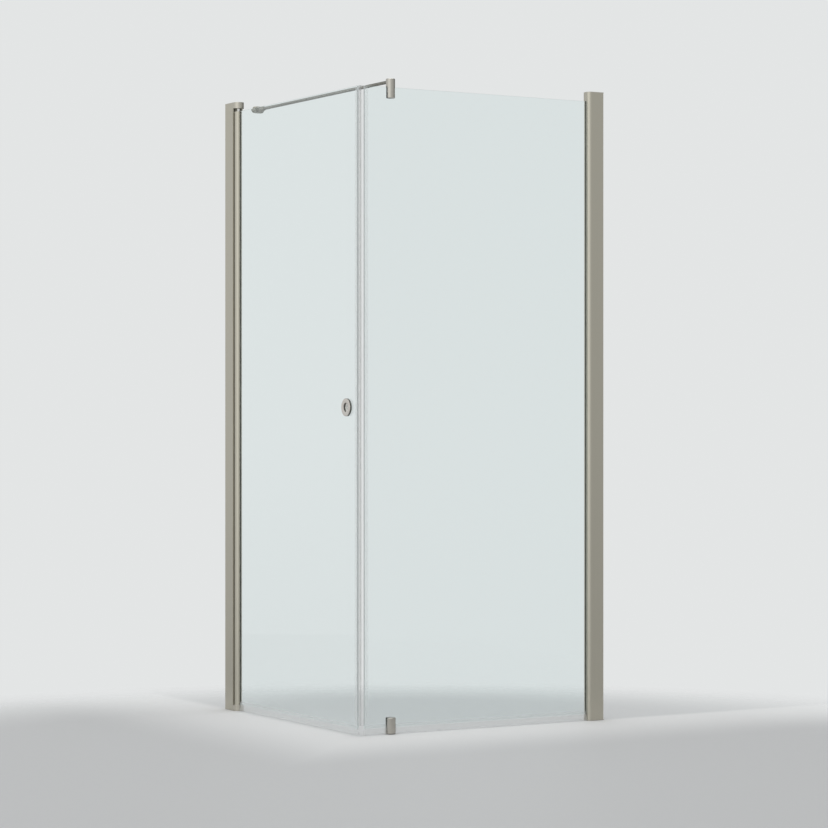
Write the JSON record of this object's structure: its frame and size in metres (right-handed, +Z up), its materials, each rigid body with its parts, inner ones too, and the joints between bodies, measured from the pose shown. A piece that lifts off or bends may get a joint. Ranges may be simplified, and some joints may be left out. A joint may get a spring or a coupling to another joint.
{
  "type": "corner shower screen",
  "caption": "Corner shower screen: glass door on a rising hinge beside a fixed glass panel, with wall profiles, finger ring, magnet strips, stay bar and floor clamp.",
  "frame": {"origin": "middle of the footprint, on the floor", "axes": "+Z up; the door lies along X and faces -Y; the fixed panel lies along Y and faces +X; the walls are at -X and +Y"},
  "size_m": [0.898, 0.898, 2],
  "materials": {
    "profile_metal": "satin anodised, warm silver",
    "cap_metal": "satin die cast, a little paler than the profiles",
    "steel": "plain stainless",
    "cam_plastic": "white bearing plastic",
    "pane_glass": "clear toughened glass, greenish edges",
    "bright_metal": "bright, slightly satin, warm nickel",
    "clear_strip": "clear flexible strip",
    "clear_washer": "clear soft washer",
    "magnet_strip": "pale bonded magnet",
    "dark_rubber": "dark grey rubber"
  },
  "bodies": {
    "frame": {"door_wall_channel": "profile_metal", "door_cover_profile": "profile_metal", "hinge_seal_strip": "dark_rubber", "hinge_top_cap": "cap_metal", "hinge_bottom_cap": "cap_metal", "hinge_top_pin": "steel", "hinge_bottom_pin": "steel", "hinge_lower_cam": "cam_plastic", "panel_wall_channel": "profile_metal", "panel_cover_profile": "profile_metal", "panel_glazing_gaskets": "dark_rubber", "panel_top_cap": "cap_metal", "panel_bottom_cap": "cap_metal", "panel_glass": "pane_glass", "panel_edge_seal": "clear_strip", "panel_edge_magnet": "magnet_strip", "panel_bottom_seal": "clear_strip", "end_cap_screws": "steel", "profile_lock_screws": "steel", "stay_clamp": "bright_metal", "stay_clamp_liner": "clear_washer", "stay_bar": "bright_metal", "stay_wall_socket": "bright_metal", "stay_wall_cover": "bright_metal", "stay_grub_screws": "steel", "floor_clamp": "bright_metal", "floor_clamp_liner": "clear_washer", "floor_clamp_pad": "clear_washer", "floor_grub_screws": "steel"},
    "lift_bush": {"hinge_top_bush": "cam_plastic"},
    "door": {"hinge_tube": "profile_metal", "hinge_glazing_gasket": "dark_rubber", "hinge_upper_cam": "cam_plastic", "door_glass": "pane_glass", "grip_ring_outer": "bright_metal", "grip_ring_inner": "bright_metal", "grip_gaskets": "clear_washer", "door_edge_seal": "clear_strip", "door_edge_magnet": "magnet_strip", "door_bottom_seal": "clear_strip"}
  },
  "joints": [
    {"name": "door_lift", "type": "slide", "parent": "frame", "child": "lift_bush", "axis": [0, 0, 1], "range_m": [0, 0.0053]},
    {"name": "door_swing", "type": "hinge", "parent": "lift_bush", "child": "door", "pos_m": [-0.3858, -0.431, 1], "axis": [0, 0, -1], "range_deg": [0, 90]}
  ],
  "couplings": [
    {"joint": "door_lift", "follows": "door_swing", "m_per_rad": 0.0033423}
  ]
}
